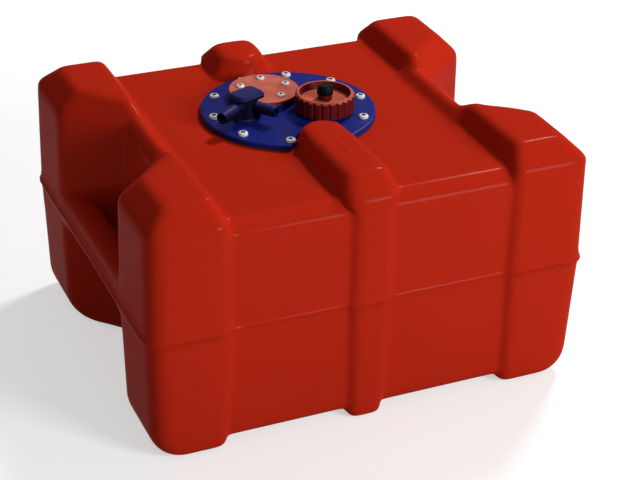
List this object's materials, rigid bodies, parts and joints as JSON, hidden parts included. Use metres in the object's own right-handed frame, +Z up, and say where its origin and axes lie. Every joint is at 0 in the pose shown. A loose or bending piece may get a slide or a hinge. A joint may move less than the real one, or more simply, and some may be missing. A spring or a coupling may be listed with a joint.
{
  "type": "outboard fuel tank",
  "caption": "Moulded portable fuel tank with corner lobes, side handle bars, and a round flange with vented filler cap, blanked sender port and two-way fuel outlet.",
  "frame": {"origin": "on the floor, at the middle of the tank's box", "axes": "+X along the tank to its right end, +Y to the back, +Z up"},
  "size_m": [0.504, 0.42, 0.3058],
  "materials": {
    "tank": "satin moulded polyethylene",
    "flange": "satin moulded plastic",
    "cap": "satin moulded plastic",
    "cover": "satin moulded plastic",
    "outlet": "satin moulded plastic",
    "knob": "matt",
    "rubber": "matt",
    "steel": "bright",
    "brass": "plain",
    "ball": "polished",
    "tube": "natural",
    "strainer": "natural"
  },
  "bodies": {
    "tank": {"tank_shell": "tank", "flange_gasket": "rubber", "flange_plate": "flange", "flange_screws": "steel", "flange_inserts": "brass", "level_cover": "cover", "level_cover_gasket": "rubber", "level_cover_screws": "steel", "level_cover_inserts": "brass", "outlet_head": "outlet", "outlet_seal": "rubber", "outlet_nut": "outlet", "outlet_cap": "outlet", "outlet_cap_seal": "rubber", "pickup_tube": "tube", "pickup_strainer": "strainer"},
    "cap_carrier": {"cap_gasket": "rubber"},
    "cap": {"filler_cap": "cap"},
    "vent_carrier": {"vent_seal": "rubber"},
    "vent": {"vent_screw": "knob"},
    "ball": {"check_ball": "ball"}
  },
  "joints": [
    {"name": "cap_lift", "type": "slide", "parent": "tank", "child": "cap_carrier", "axis": [0, 0, 1], "range_m": [0, 0.00626]},
    {"name": "cap_turn", "type": "hinge", "parent": "cap_carrier", "child": "cap", "pos_m": [0.0287, 0.004, 0.29], "axis": [0, 0, 1], "range_deg": [0, 450]},
    {"name": "vent_lift", "type": "slide", "parent": "cap", "child": "vent_carrier", "axis": [0, 0, 1], "range_m": [0, 0.00301]},
    {"name": "vent_turn", "type": "hinge", "parent": "vent_carrier", "child": "vent", "pos_m": [0.0287, 0.004, 0.3], "axis": [0, 0, 1], "range_deg": [0, 720]},
    {"name": "ball_lift", "type": "slide", "parent": "tank", "child": "ball", "axis": [0, 0, 1], "range_m": [0, 0.003]}
  ],
  "couplings": [
    {"joint": "cap_lift", "follows": "cap_turn", "m_per_rad": 0.00079577},
    {"joint": "vent_lift", "follows": "vent_turn", "m_per_rad": 0.00023873}
  ]
}
